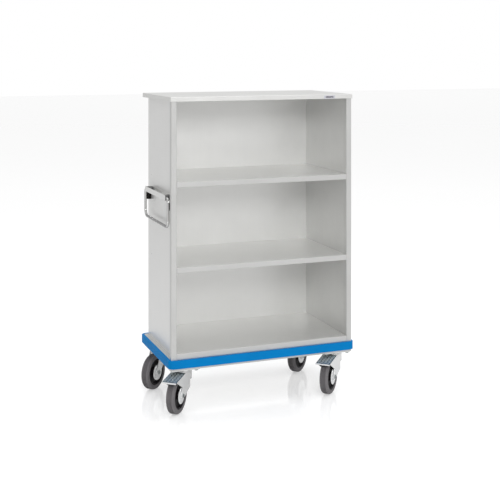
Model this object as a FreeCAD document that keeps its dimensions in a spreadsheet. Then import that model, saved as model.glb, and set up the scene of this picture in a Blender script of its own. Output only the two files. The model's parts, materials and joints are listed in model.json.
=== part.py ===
"""Instrument cart: open stainless cabinet on four swivel castors, with a drop handle.

Frame: millimetres, +Z up, +X to the cart's right, -Y to its open front.
The origin is on the floor, under the middle of the cabinet.
"""
import FreeCAD
import Part
import Sketcher
import os
import re

DIMENSIONS = {
    # cabinet
    "cabinet_width": 875,
    "cabinet_depth": 465,
    "cabinet_top": 1388,
    "top_overhang": 4,
    "top_edge": 20,
    "sheet": 1.5,
    "post_side": 25,
    "shelf_edge": 25,
    "shelf_lip": 12,
    "upper_shelf": 1015,
    "lower_shelf": 639,
    "floor_shelf": 261,
    "rivet_radius": 2.4,
    "rivet_head": 4.2,
    "rivet_head_height": 1.4,
    "rivet_inset": 60,
    "plate_length": 56,
    "plate_height": 14,
    "plate_thickness": 0.8,
    "plate_to_side": 86,
    "plate_drop": 2,
    # base and bumper
    "base_top": 234,
    "base_sheet": 2,
    "bumper_bottom": 198,
    "bumper_height": 36,
    "bumper_thickness": 12,
    "bumper_corner": 28,
    "bumper_edge": 4,
    "channel_sheet": 3,
    # handle
    "grip_radius": 6,
    "grip_end_gap": 17.5,
    "grip_stand_off": 2,
    "grip_bend": 20,
    "grip_low_bend": 32,
    "grip_drop": 128,
    "pivot_height": 938,
    "bracket_end_gap": 23,
    "bracket_proud": 10.5,
    "bracket_height": 24,
    "bracket_sheet": 1.5,
    "screw_drop": 6,
    "bearing_length": 30,
    "bearing_step": 1,
    "journal_length": 26,
    "buffer_side": 16,
    "buffer_height": 34,
    "buffer_drop": 36,
    # castors
    "wheel_radius": 80,
    "tyre_width": 38,
    "tyre_thickness": 20,
    "tyre_shoulder": 9,
    "rim_band": 8,
    "rim_width": 34,
    "web_thickness": 10,
    "hub_radius": 20,
    "hub_width": 46,
    "trail": 64,
    "castor_height": 187,
    "castor_inset_x": 67.5,
    "castor_inset_y": 57.5,
    "mount_plate_x": 135,
    "mount_plate_y": 110,
    "mount_plate_thickness": 4,
    "bolt_spacing_x": 105,
    "bolt_spacing_y": 80,
    "bolt_radius": 5,
    "bolt_hole_gap": 0.5,
    "bolt_head_radius": 9.2,
    "bolt_head_height": 6,
    "bolt_end": 4,
    "cup_radius": 36,
    "cup_depth": 6,
    "race_height": 3.5,
    "race_step": 2,
    "race_bore": 18,
    "kingpin_radius": 8,
    "kingpin_head": 15.5,
    "kingpin_head_height": 3.2,
    "kingpin_foot_height": 7,
    "crown_back": 38,
    "crown_front": 34,
    "crown_sheet": 4,
    "crown_gap": 5,
    "fork_skirt": 42,
    "fork_gap": 55,
    "fork_sheet": 3.5,
    "leg_top_front": 47,
    "leg_back": 18,
    "leg_waist_rise": 15,
    "leg_waist_front": 12,
    "leg_foot": 17,
    "leg_tip": 10.2,
    "slim_leg_waist": 30,
    "axle_radius": 6,
    "axle_head": 11,
    "axle_head_height": 5,
    "guard_radius": 36,
    "guard_nose": 14,
    "swivel_gap": 0.3,
    "running_gap": 0.08,
    "seat_gap": 0.1,
    # brake pedals of the front castors
    "pedal_pin_x": 42,
    "pedal_pin_drop": 1,
    "pedal_pin_radius": 3,
    "pedal_root": 44,
    "pedal_length": 106,
    "pedal_sheet": 3,
    "pedal_rise": 8.5,
    "pedal_slope": 8.1,
    "pedal_cheek": 2,
    "pedal_cheek_gap": 0.5,
    "pedal_cheek_drop": 42,
    "pedal_ear": 8,
    "pedal_lip": 3.5,
    # resting swivel of each castor: direction of the trail, degrees from +X
    "yaw_fl": 230,
    "yaw_fr": 226,
    "yaw_rl": 222,
    "yaw_rr": 221,
}

ALIAS_NAMES = {alias: f"Sizes.{alias}" for alias in DIMENSIONS}

doc = FreeCAD.newDocument("instrument_cart")
sheet = doc.addObject("Spreadsheet::Sheet", "Sizes")
for row, (alias, value) in enumerate(DIMENSIONS.items(), start=1):
    sheet.set(f"A{row}", alias)
    sheet.set(f"B{row}", str(value))
    sheet.setAlias(f"B{row}", alias)
doc.recompute()

nodes = []


def size(alias):
    """The value of one cell of the sheet."""
    return float(sheet.get(alias))


def bound(text):
    """An expression in sheet aliases, with the sheet's name put before each of them."""
    return re.sub(r"[a-z_]+", lambda word: ALIAS_NAMES.get(word[0], word[0]), text)


def tie(thing, **sizes):
    """Bind properties of one object to expressions."""
    for prop, text in sizes.items():
        thing.setExpression(prop, bound(text))
    return thing


def place(thing, x="0", y="0", z="0", axis=(0, 0, 1), angle=0):
    """Put an object at bound coordinates, turned about one axis."""
    turn = FreeCAD.Rotation(FreeCAD.Vector(*axis), angle)
    thing.Placement = FreeCAD.Placement(FreeCAD.Vector(), turn)
    for letter, text in (("x", x), ("y", y), ("z", z)):
        thing.setExpression(f"Placement.Base.{letter}", bound(text))
    return thing


def box(name, length, width, height, x="0", y="0", z="0"):
    """A box from its low corner."""
    thing = doc.addObject("Part::Box", name)
    tie(thing, Length=length, Width=width, Height=height)
    return place(thing, x, y, z)


def rod(name, radius, height, x="0", y="0", z="0", along="z"):
    """A cylinder from the centre of its first face, along +X, +Y or +Z."""
    thing = doc.addObject("Part::Cylinder", name)
    tie(thing, Radius=radius, Height=height)
    return place(thing, x, y, z, *TURNS[along])


def hexagon(name, radius, height, x="0", y="0", z="0", along="z"):
    """A hexagonal prism, radius to its corners."""
    thing = doc.addObject("Part::Prism", name)
    thing.Polygon = 6
    tie(thing, Circumradius=radius, Height=height)
    return place(thing, x, y, z, *TURNS[along])


def taper(name, low, high, thickness, y):
    """An upright plate across Y whose X span changes with height.

    low and high are (height, first x, last x).
    """
    thing = doc.addObject("Part::Wedge", name)
    tie(thing, Ymin=low[0], Xmin=low[1], Xmax=low[2], Ymax=high[0], X2min=high[1], X2max=high[2])
    tie(thing, Zmin="0", Z2min="0", Zmax=thickness, Z2max=thickness)
    return place(thing, y=f"{y} + {thickness}", axis=(1, 0, 0), angle=90)


def cut(name, base, tools):
    """One solid with others taken out of it."""
    tool = tools[0] if len(tools) == 1 else fuse(f"{name}_tools", tools)
    thing = doc.addObject("Part::Cut", name)
    thing.Base = base
    thing.Tool = tool
    return thing


def fuse(name, pieces):
    """Several solids joined into one."""
    thing = doc.addObject("Part::MultiFuse", name)
    thing.Shapes = pieces
    thing.Refine = True
    return thing


def group(name, pieces):
    """Separate solids that share one node."""
    thing = doc.addObject("Part::Compound", name)
    thing.Links = pieces
    return thing


def node(thing):
    """Keep an object as one sub-part, whose Label names its file."""
    thing.Label = thing.Name
    nodes.append(thing)
    return thing


TURNS = {"x": ((0, 1, 0), 90), "y": ((1, 0, 0), -90), "z": ((0, 0, 1), 0)}

LEFT = "-cabinet_width / 2"
FRONT = "-cabinet_depth / 2"
BACK = "cabinet_depth / 2"
INSIDE_WIDTH = "(cabinet_width - 2 * post_side)"
WALL_LEFT = f"{LEFT} + post_side - sheet"
WALL_RIGHT = "cabinet_width / 2 - post_side"
BASE_UNDERSIDE = "castor_height"
CHANNEL_WIDTH = "(2 * (castor_inset_x - base_sheet))"
RIVETED_SHELVES = ("upper_shelf", "lower_shelf")
RIVET_Y = {"front": f"{FRONT} + rivet_inset", "rear": f"{BACK} - rivet_inset"}
GRIP_SPAN = "(cabinet_depth / 2 - post_side - grip_end_gap)"
BRACKET_SPAN = f"({GRIP_SPAN} - bracket_end_gap)"
SCREW_Y = (f"-{BRACKET_SPAN} * 3 / 5", "0", f"{BRACKET_SPAN} * 3 / 5")
SCREW_SEAT = f"{WALL_LEFT} - bracket_sheet"
SCREW_Z = "pivot_height - screw_drop"


def screw_shank(tag, y):
    """The part of one bracket screw that lies in the trough's back and in the wall."""
    return rod(tag, "rivet_radius", "bracket_sheet + sheet", SCREW_SEAT, y, SCREW_Z, "x")


def open_tray(name, length, width, height, x, y, z, wall):
    """A folded sheet tray that is open underneath."""
    outer = box(f"{name}_outer", length, width, height, x, y, z)
    inner = box(
        f"{name}_inner",
        f"{length} - 2 * {wall}",
        f"{width} - 2 * {wall}",
        f"{height}",
        f"{x} + {wall}",
        f"{y} + {wall}",
        f"{z} - {wall}",
    )
    return outer, inner


# ---------------------------------------------------------------- cabinet


def top_panel():
    """Folded lid that laps over the posts."""
    outer, inner = open_tray(
        "top",
        "(cabinet_width + 2 * top_overhang)",
        "(cabinet_depth + 2 * top_overhang)",
        "top_edge",
        f"{LEFT} - top_overhang",
        f"{FRONT} - top_overhang",
        "cabinet_top - top_edge",
        "sheet",
    )
    node(cut("top_panel", outer, [inner]))


def front_post(name, x):
    """Square hollow post at one side of the opening."""
    height = "cabinet_top - sheet - base_top"
    outer = box(f"{name}_outer", "post_side", "post_side", height, x, FRONT, "base_top")
    inner = box(
        f"{name}_inner",
        "post_side - 2 * sheet",
        "post_side - 2 * sheet",
        height,
        f"{x} + sheet",
        f"{FRONT} + sheet",
        "base_top",
    )
    node(cut(name, outer, [inner]))


def rivet_shank(tag, side, level, row):
    """The part of one shelf rivet that lies in the wall and in the shelf's flange."""
    x = WALL_LEFT if side == "left" else f"{WALL_RIGHT} - sheet"
    return rod(tag, "rivet_radius", "2 * sheet", x, RIVET_Y[row], f"{level} - shelf_edge / 2", "x")


def side_panel(name, x, side):
    """Flat side wall, level with the inner edge of the post."""
    depth = "cabinet_depth - post_side - sheet"
    height = "cabinet_top - sheet - base_top"
    blank = box(f"{name}_blank", "sheet", depth, height, x, f"{FRONT} + post_side", "base_top")
    holes = [
        rivet_shank(f"{name}_{level}_{row}_hole", side, level, row)
        for level in RIVETED_SHELVES
        for row in RIVET_Y
    ]
    if side == "left":
        holes += [screw_shank(f"{name}_screw_hole_{index}", y) for index, y in enumerate(SCREW_Y)]
    node(cut(name, blank, holes))


def back_panel():
    """Flat rear wall, lapping behind both side walls."""
    length = f"{INSIDE_WIDTH} + 2 * sheet"
    height = "cabinet_top - sheet - base_top"
    node(box("back_panel", length, "sheet", height, WALL_LEFT, f"{BACK} - sheet", "base_top"))


def shelf(name, level, edge):
    """Folded shelf tray with a lip turned in under its front edge."""
    depth = "(cabinet_depth - sheet)"
    x = f"{LEFT} + post_side"
    outer, inner = open_tray(name, INSIDE_WIDTH, depth, edge, x, FRONT, f"{level} - {edge}", "sheet")
    tray = cut(f"{name}_tray", outer, [inner])
    lip = box(f"{name}_lip", INSIDE_WIDTH, "shelf_lip", "sheet", x, FRONT, f"{level} - {edge}")
    if level not in RIVETED_SHELVES:
        node(fuse(name, [tray, lip]))
        return
    holes = [
        rivet_shank(f"{name}_{side}_{row}_hole", side, level, row)
        for side in ("left", "right")
        for row in RIVET_Y
    ]
    node(cut(name, fuse(f"{name}_blank", [tray, lip]), holes))


def shelf_rivets():
    """Blind rivets that hold both loose shelves to the side walls."""
    rivets = []
    heads = {"left": f"{WALL_LEFT} + 2 * sheet", "right": f"{WALL_RIGHT} - sheet - rivet_head_height"}
    for level in RIVETED_SHELVES:
        for row, y in RIVET_Y.items():
            for side, x in heads.items():
                tag = f"rivet_{level}_{row}_{side}"
                z = f"{level} - shelf_edge / 2"
                cap = rod(f"{tag}_cap", "rivet_head", "rivet_head_height", x, y, z, "x")
                rivets.append(fuse(tag, [rivet_shank(f"{tag}_body", side, level, row), cap]))
    node(group("shelf_rivets", rivets))


def name_plate():
    """Blank plate on the front edge of the lid."""
    x = "cabinet_width / 2 - plate_to_side - plate_length"
    y = f"{FRONT} - top_overhang - plate_thickness"
    z = "cabinet_top - top_edge / 2 - plate_height / 2 - plate_drop"
    node(box("name_plate", "plate_length", "plate_thickness", "plate_height", x, y, z))


# ---------------------------------------------------------------- base


def base_tray():
    """Deck with a skirt all round, which the cabinet stands on."""
    outer, inner = open_tray(
        "base",
        "cabinet_width",
        "cabinet_depth",
        "(base_top - castor_height)",
        LEFT,
        FRONT,
        BASE_UNDERSIDE,
        "base_sheet",
    )
    node(cut("base_tray", outer, [inner]))


def bumper():
    """Plastic profile right round the base, with rounded corners."""
    body = doc.addObject("PartDesign::Body", "bumper")
    profile = body.newObject("Sketcher::SketchObject", "bumper_outline")
    plane = next(f for f in body.Origin.OriginFeatures if f.Role == "XY_Plane")
    profile.AttachmentSupport = [(plane, "")]
    profile.MapMode = "FlatFace"
    outline = (("outer", "+ 2 * bumper_thickness"), ("inner", ""))
    for loop, (tag, more) in enumerate(outline):
        half_x = size("cabinet_width") / 2 + (size("bumper_thickness") if more else 0)
        half_y = size("cabinet_depth") / 2 + (size("bumper_thickness") if more else 0)
        corners = [(-half_x, -half_y), (half_x, -half_y), (half_x, half_y), (-half_x, half_y)]
        points = [FreeCAD.Vector(x, y, 0) for x, y in corners]
        first = 4 * loop
        for side in range(4):
            profile.addGeometry(Part.LineSegment(points[side], points[(side + 1) % 4]), False)
        for side in range(4):
            follower = first + (side + 1) % 4
            profile.addConstraint(Sketcher.Constraint("Coincident", first + side, 2, follower, 1))
        for side in (0, 2):
            profile.addConstraint(Sketcher.Constraint("Horizontal", first + side))
            profile.addConstraint(Sketcher.Constraint("Vertical", first + side + 1))
        profile.addConstraint(Sketcher.Constraint("Symmetric", first, 1, first + 2, 1, -1, 1))
        for side, word, prop in ((0, "x", "cabinet_width"), (1, "y", "cabinet_depth")):
            length = 2 * (half_x if side == 0 else half_y)
            kind = "DistanceX" if side == 0 else "DistanceY"
            index = profile.addConstraint(Sketcher.Constraint(kind, first + side, 1, first + side, 2, length))
            profile.renameConstraint(index, f"{tag}_{word}")
            profile.setExpression(f"Constraints.{tag}_{word}", bound(f"{prop} {more}"))
    pad = body.newObject("PartDesign::Pad", "bumper_pad")
    pad.Profile = profile
    tie(pad, Length="bumper_height")
    doc.recompute()
    uprights = [
        f"Edge{i}"
        for i, edge in enumerate(pad.Shape.Edges, start=1)
        if abs(edge.tangentAt(edge.FirstParameter).z) > 0.99
        and abs(edge.CenterOfMass.x) > size("cabinet_width") / 2 + size("bumper_thickness") / 2
    ]
    rounds = body.newObject("PartDesign::Fillet", "bumper_rounds")
    rounds.Base = (pad, uprights)
    tie(rounds, Radius="bumper_corner")
    doc.recompute()
    outside = size("cabinet_width") / 2 + size("bumper_thickness")
    rims = [
        f"Edge{i}"
        for i, edge in enumerate(rounds.Shape.Edges, start=1)
        if abs(edge.tangentAt(edge.FirstParameter).z) < 0.01
        and abs(max(edge.BoundBox.XMax, -edge.BoundBox.XMin) - outside) < 0.01
        and abs(edge.CenterOfMass.x) > outside - 1
    ]
    edges = body.newObject("PartDesign::Fillet", "bumper_edges")
    edges.Base = (rounds, rims)
    tie(edges, Radius="bumper_edge")
    body.Tip = edges
    node(place(body, z="bumper_bottom"))


def castor_channel(name, x):
    """Channel between the skirts that carries one pair of castors."""
    length = "cabinet_depth - 2 * base_sheet"
    height = "(base_top - base_sheet - castor_height)"
    y = f"{FRONT} + base_sheet"
    side = f"{x} - {CHANNEL_WIDTH} / 2"
    outer = box(f"{name}_outer", CHANNEL_WIDTH, length, height, side, y, BASE_UNDERSIDE)
    inner = box(
        f"{name}_inner",
        f"{CHANNEL_WIDTH} - 2 * channel_sheet",
        length,
        height,
        f"{x} - {CHANNEL_WIDTH} / 2 + channel_sheet",
        y,
        f"{BASE_UNDERSIDE} + channel_sheet",
    )
    holes = [inner]
    for end, y_castor in (("front", CASTOR_Y["f"]), ("rear", CASTOR_Y["r"])):
        for index, (dx, dy) in enumerate(BOLT_CORNERS):
            holes.append(
                rod(
                    f"{name}_{end}_hole_{index}",
                    "bolt_radius + bolt_hole_gap",
                    "3 * channel_sheet",
                    f"{x} {dx}",
                    f"{y_castor} {dy}",
                    f"{BASE_UNDERSIDE} - channel_sheet",
                )
            )
    node(cut(name, outer, holes))


CASTOR_X = {"l": "-cabinet_width / 2 + castor_inset_x", "r": "cabinet_width / 2 - castor_inset_x"}
CASTOR_Y = {"f": "-cabinet_depth / 2 + castor_inset_y", "r": "cabinet_depth / 2 - castor_inset_y"}
CASTORS = ("fl", "fr", "rl", "rr")
BRAKED = ("fl", "fr")
BOLT_CORNERS = [
    (f"{a} bolt_spacing_x / 2", f"{b} bolt_spacing_y / 2") for a in ("-", "+") for b in ("-", "+")
]


def castor_fasteners():
    """Hexagon bolts and nuts of all four castors."""
    bolts = []
    nuts = []
    under_plate = "castor_height - mount_plate_thickness"
    for tag in CASTORS:
        for index, (dx, dy) in enumerate(BOLT_CORNERS):
            x = f"{CASTOR_X[tag[1]]} {dx}"
            y = f"{CASTOR_Y[tag[0]]} {dy}"
            name = f"bolt_{tag}_{index}"
            head_low = f"{under_plate} - bolt_head_height"
            shank = "mount_plate_thickness + channel_sheet + bolt_head_height + bolt_end"
            head = hexagon(f"{name}_head", "bolt_head_radius", "bolt_head_height", x, y, head_low)
            stem = rod(f"{name}_stem", "bolt_radius", shank, x, y, under_plate)
            bolts.append(fuse(name, [head, stem]))
            above = "castor_height + channel_sheet"
            blank = hexagon(f"nut_{tag}_{index}_hex", "bolt_head_radius", "bolt_head_height", x, y, above)
            bore = rod(f"nut_{tag}_{index}_bore", "bolt_radius", "bolt_head_height", x, y, above)
            nuts.append(cut(f"nut_{tag}_{index}", blank, [bore]))
    node(group("castor_bolts", bolts))
    node(group("castor_nuts", nuts))


# ---------------------------------------------------------------- drop handle

PIVOT_X = f"{LEFT} - grip_stand_off"
BRACKET_FACE = f"{LEFT} - bracket_proud"
BRACKET_DEPTH = "(bracket_proud + post_side - sheet)"
BRACKET_LOW = "pivot_height - bracket_height / 2"


def handle_bracket():
    """Open-topped trough along the left wall that holds both bearings."""
    length = f"2 * {BRACKET_SPAN}"
    y = f"-{BRACKET_SPAN}"
    outer = box("bracket_outer", BRACKET_DEPTH, length, "bracket_height", BRACKET_FACE, y, BRACKET_LOW)
    inner = box(
        "bracket_inner",
        f"{BRACKET_DEPTH} - 2 * bracket_sheet",
        length,
        "bracket_height",
        f"{BRACKET_FACE} + bracket_sheet",
        y,
        f"{BRACKET_LOW} + bracket_sheet",
    )
    holes = [screw_shank(f"bracket_hole_{index}", screw_y) for index, screw_y in enumerate(SCREW_Y)]
    node(cut("handle_bracket", outer, [inner] + holes))


def handle_bearings():
    """Plastic blocks that fill the trough's ends and carry the journals."""
    blocks = []
    for tag, y, mouth in (
        ("front", f"-{BRACKET_SPAN}", f"-{BRACKET_SPAN}"),
        ("rear", f"{BRACKET_SPAN} - bearing_length", f"{BRACKET_SPAN} - journal_length"),
    ):
        block = box(
            f"bearing_{tag}_block",
            f"{BRACKET_DEPTH} - 2 * bracket_sheet",
            "bearing_length",
            "bracket_height - bracket_sheet - bearing_step",
            f"{BRACKET_FACE} + bracket_sheet",
            y,
            f"{BRACKET_LOW} + bracket_sheet",
        )
        bore = rod(
            f"bearing_{tag}_bore",
            "grip_radius + running_gap",
            "journal_length + swivel_gap",
            PIVOT_X,
            mouth if tag == "front" else f"{mouth} - swivel_gap",
            "pivot_height",
            "y",
        )
        blocks.append(cut(f"bearing_{tag}", block, [bore]))
    node(group("handle_bearings", blocks))


def handle_buffers():
    """Rubber pads on the wall that the hanging grip rests against."""
    pads = []
    depth = "post_side - sheet + grip_stand_off - grip_radius - swivel_gap"
    for tag, side in (("front", "-"), ("rear", "")):
        x = f"{LEFT} - grip_stand_off + grip_radius + swivel_gap"
        y = f"{side}{GRIP_SPAN} - buffer_side / 2"
        z = "pivot_height - buffer_drop - buffer_height / 2"
        pads.append(box(f"buffer_{tag}", depth, "buffer_side", "buffer_height", x, y, z))
    node(group("handle_buffers", pads))


def bend(name, radius, y, z, first):
    """A quarter bend of the grip's rod in the plane of the grip, starting at an angle."""
    thing = doc.addObject("Part::Torus", name)
    tie(thing, Radius1=radius, Radius2="grip_radius")
    thing.Angle3 = 90
    place(thing, PIVOT_X, y, z)
    upright = FreeCAD.Rotation(FreeCAD.Vector(0, 1, 0), FreeCAD.Vector(0, 0, 1), FreeCAD.Vector(1, 0, 0))
    spin = FreeCAD.Rotation(FreeCAD.Vector(0, 0, 1), first)
    thing.Placement = FreeCAD.Placement(FreeCAD.Vector(), upright.multiply(spin))
    return thing


def handle_grip():
    """Round bar bent into a U, with both ends turned inwards as journals."""
    leg = "(grip_drop - grip_bend - grip_low_bend)"
    low = f"pivot_height - grip_bend - {leg}"
    bar = f"2 * ({GRIP_SPAN} - grip_low_bend)"
    journal = f"({GRIP_SPAN} - {BRACKET_SPAN} - grip_bend + journal_length)"
    bar_y = f"-{GRIP_SPAN} + grip_low_bend"
    journal_y = f"-{GRIP_SPAN} + grip_bend"
    pieces = [
        rod("grip_bar", "grip_radius", bar, PIVOT_X, bar_y, f"{low} - grip_low_bend", "y"),
        rod("grip_leg_front", "grip_radius", leg, PIVOT_X, f"-{GRIP_SPAN}", low),
        rod("grip_leg_rear", "grip_radius", leg, PIVOT_X, GRIP_SPAN, low),
        rod("journal_front", "grip_radius", journal, PIVOT_X, journal_y, "pivot_height", "y"),
        rod(
            "journal_rear",
            "grip_radius",
            journal,
            PIVOT_X,
            f"{GRIP_SPAN} - grip_bend - {journal}",
            "pivot_height",
            "y",
        ),
        bend("bend_top_front", "grip_bend", f"-{GRIP_SPAN} + grip_bend", "pivot_height - grip_bend", 90),
        bend("bend_top_rear", "grip_bend", f"{GRIP_SPAN} - grip_bend", "pivot_height - grip_bend", 0),
        bend("bend_low_front", "grip_low_bend", f"-{GRIP_SPAN} + grip_low_bend", low, 180),
        bend("bend_low_rear", "grip_low_bend", f"{GRIP_SPAN} - grip_low_bend", low, 270),
    ]
    node(fuse("handle_grip", pieces))


def bracket_screws():
    """Pan-head screws through the trough's back and the wall."""
    screws = []
    height = "2 * rivet_head_height"
    for index, y in enumerate(SCREW_Y):
        tag = f"bracket_screw_{index}"
        head = rod(f"{tag}_head", "rivet_head", height, f"{SCREW_SEAT} - {height}", y, SCREW_Z, "x")
        screws.append(fuse(tag, [head, screw_shank(f"{tag}_shank", y)]))
    node(group("bracket_screws", screws))


# ---------------------------------------------------------------- castors


def at_kingpin(thing, tag, turned=True):
    """Carry a castor piece from the kingpin's own axes to its corner of the cart."""
    angle = size(f"yaw_{tag}") if turned else 0
    return place(thing, CASTOR_X[tag[1]], CASTOR_Y[tag[0]], angle=angle)


PLATE_LOW = "castor_height - mount_plate_thickness"
CUP_LOW = f"{PLATE_LOW} - cup_depth"
RACE_LOW = f"{CUP_LOW} - race_height"
CROWN_TOP = f"{RACE_LOW} - swivel_gap"
CROWN_LOW = "wheel_radius * 2 + crown_gap"
PEDAL_PIN_Z = f"({CROWN_LOW} - pedal_pin_drop)"
PEDAL_ROOT_Z = f"({CROWN_LOW} + pedal_rise)"
PEDAL_CHEEK_LOW = f"({CROWN_LOW} - pedal_cheek_drop)"
LEG_WAIST_Z = "(wheel_radius + leg_waist_rise)"
LEG_TOP = f"{CROWN_LOW} + crown_sheet"


def castor_plate(tag):
    """Bolted top plate with the pressed cup of the swivel head."""
    name = f"castor_{tag}_plate"
    flat = box(
        f"{name}_flat",
        "mount_plate_x",
        "mount_plate_y",
        "mount_plate_thickness",
        "-mount_plate_x / 2",
        "-mount_plate_y / 2",
        PLATE_LOW,
    )
    cup = rod(f"{name}_cup", "cup_radius", "cup_depth", z=CUP_LOW)
    tools = [
        rod(f"{name}_bore", "kingpin_radius + swivel_gap", "2 * cup_depth", z=CUP_LOW),
        rod(
            f"{name}_recess",
            "kingpin_head + swivel_gap",
            "mount_plate_thickness",
            z=PLATE_LOW,
        ),
    ]
    for index, (dx, dy) in enumerate(BOLT_CORNERS):
        tools.append(
            rod(
                f"{name}_hole_{index}",
                "bolt_radius + bolt_hole_gap",
                "2 * mount_plate_thickness",
                f"0 {dx}",
                f"0 {dy}",
                f"{PLATE_LOW} - mount_plate_thickness / 2",
            )
        )
    node(at_kingpin(cut(name, fuse(f"{name}_blank", [flat, cup]), tools), tag, turned=False))


def castor_race(tag):
    """Hardened ring under the cup that the fork turns against."""
    name = f"castor_{tag}_race"
    ring = rod(f"{name}_ring", "cup_radius - race_step", "race_height", z=RACE_LOW)
    bore = rod(f"{name}_bore", "race_bore", "race_height", z=RACE_LOW)
    node(at_kingpin(cut(name, ring, [bore]), tag, turned=False))


def castor_kingpin(tag):
    """Riveted pin that holds the fork up against the plate."""
    name = f"castor_{tag}_kingpin"
    stem_height = f"{PLATE_LOW} + swivel_gap - ({CROWN_LOW})"
    pieces = [
        rod(f"{name}_stem", "kingpin_radius", stem_height, z=CROWN_LOW),
        rod(f"{name}_head", "kingpin_head", "kingpin_head_height", z=f"{PLATE_LOW} + swivel_gap"),
        rod(f"{name}_foot", "kingpin_head", "kingpin_foot_height", z=f"{CROWN_LOW} - kingpin_foot_height"),
    ]
    node(at_kingpin(fuse(name, pieces), tag))


def castor_fork(tag):
    """Pressed fork: crown, two legs and the holes for its pins."""
    name = f"castor_{tag}_fork"
    braked = tag in BRAKED
    width = "fork_gap + 2 * fork_sheet"
    pieces = [
        rod(f"{name}_head", "cup_radius", f"{CROWN_TOP} - ({LEG_TOP})", z=LEG_TOP),
        box(
            f"{name}_crown",
            "crown_back + crown_front",
            width,
            "crown_sheet",
            "-crown_back",
            "-fork_gap / 2 - fork_sheet",
            CROWN_LOW,
        ),
    ]
    waist_back = "-leg_back" if braked else "trail - slim_leg_waist"
    waist = (LEG_WAIST_Z, waist_back, "trail + leg_waist_front")
    foot = ("wheel_radius - leg_foot", "trail - leg_tip", "trail + leg_tip")
    for side, y in (("near", "fork_gap / 2"), ("far", "-fork_gap / 2 - fork_sheet")):
        pieces += [
            taper(f"{name}_{side}_leg", waist, (LEG_TOP, "-leg_back", "leg_top_front"), "fork_sheet", y),
            taper(f"{name}_{side}_foot", foot, waist, "fork_sheet", y),
            rod(f"{name}_{side}_eye", "leg_foot", "fork_sheet", "trail", y, "wheel_radius", "y"),
            box(
                f"{name}_{side}_skirt",
                "crown_back - leg_back",
                "fork_sheet",
                "fork_skirt",
                "-crown_back",
                y,
                f"{LEG_TOP} - fork_skirt",
            ),
        ]
    tools = [
        rod(f"{name}_kingpin_hole", "kingpin_radius", f"{CROWN_TOP} - ({CROWN_LOW})", z=CROWN_LOW),
        rod(
            f"{name}_axle_hole",
            "axle_radius + seat_gap",
            width,
            "trail",
            "-fork_gap / 2 - fork_sheet",
            "wheel_radius",
            "y",
        ),
    ]
    if braked:
        tools.append(
            rod(
                f"{name}_pin_hole",
                "pedal_pin_radius",
                width,
                "pedal_pin_x",
                "-fork_gap / 2 - fork_sheet",
                PEDAL_PIN_Z,
                "y",
            )
        )
    node(at_kingpin(cut(name, fuse(f"{name}_blank", pieces), tools), tag))


def ring(name, outer, bore, width):
    """A ring round the wheel's axle, centred on its middle plane."""
    y = f"-{width} / 2"
    body = rod(f"{name}_body", outer, width, "trail", y, "wheel_radius", "y")
    hole = rod(f"{name}_hole", bore, width, "trail", y, "wheel_radius", "y")
    return cut(name, body, [hole])


def castor_tyre(tag):
    """Solid rubber tyre with rounded shoulders."""
    name = f"castor_{tag}_tyre"
    blank = ring(f"{name}_blank", "wheel_radius", "wheel_radius - tyre_thickness", "tyre_width")
    doc.recompute()
    shoulders = [
        (i, size("tyre_shoulder"), size("tyre_shoulder"))
        for i, edge in enumerate(blank.Shape.Edges, start=1)
        if hasattr(edge.Curve, "Radius") and abs(edge.Curve.Radius - size("wheel_radius")) < 0.01
    ]
    tyre = doc.addObject("Part::Fillet", name)
    tyre.Base = blank
    tyre.Edges = shoulders
    node(at_kingpin(tyre, tag))


def castor_rim(tag):
    """Plastic wheel centre: hub, web and the band under the tyre."""
    name = f"castor_{tag}_rim"
    seat = "(wheel_radius - tyre_thickness)"
    band = ring(f"{name}_band", seat, f"{seat} - rim_band", "rim_width")
    web = ring(f"{name}_web", f"{seat} - rim_band / 2", "hub_radius / 2", "web_thickness")
    hub = ring(f"{name}_hub", "hub_radius", "hub_radius / 2", "hub_width")
    sleeve = ring(f"{name}_sleeve", "hub_radius * 3 / 4", "axle_radius + running_gap", "hub_width")
    node(at_kingpin(fuse(name, [band, web, hub, sleeve]), tag))


def castor_guards(tag):
    """Dished thread guards between the hub and the fork."""
    name = f"castor_{tag}_guards"
    guards = []
    thickness = "(fork_gap / 2 - hub_width / 2 - swivel_gap - seat_gap)"
    for side, angle in (("near", -90), ("far", 90)):
        sign = "" if side == "near" else "-"
        start = f"{sign}(hub_width / 2 + swivel_gap)"
        cone = doc.addObject("Part::Cone", f"{name}_{side}_cone")
        tie(cone, Radius1="guard_radius", Radius2="guard_nose", Height=thickness)
        place(cone, "trail", start, "wheel_radius", (1, 0, 0), angle)
        bore = doc.addObject("Part::Cylinder", f"{name}_{side}_bore")
        tie(bore, Radius="axle_radius + seat_gap", Height=thickness)
        place(bore, "trail", start, "wheel_radius", (1, 0, 0), angle)
        guards.append(cut(f"{name}_{side}", cone, [bore]))
    node(at_kingpin(group(name, guards), tag))


def castor_axle(tag):
    """Axle bolt and its nut, outside the two legs."""
    name = f"castor_{tag}_axle"
    outside = "(fork_gap / 2 + fork_sheet)"
    reach = f"2 * {outside} + 2 * axle_head_height"
    shank = rod(f"{name}_shank", "axle_radius", reach, "trail", f"-{outside}", "wheel_radius", "y")
    head = hexagon(
        f"{name}_head",
        "axle_head",
        "axle_head_height",
        "trail",
        f"-{outside} - axle_head_height",
        "wheel_radius",
        "y",
    )
    blank = hexagon(f"{name}_nut_hex", "axle_head", "axle_head_height", "trail", outside, "wheel_radius", "y")
    bore = rod(f"{name}_nut_bore", "axle_radius", "axle_head_height", "trail", outside, "wheel_radius", "y")
    nut = cut(f"{name}_nut", blank, [bore])
    node(at_kingpin(group(name, [fuse(f"{name}_bolt", [head, shank]), nut]), tag))


CHEEK_INSIDE = "(fork_gap / 2 + fork_sheet + pedal_cheek_gap)"


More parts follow.
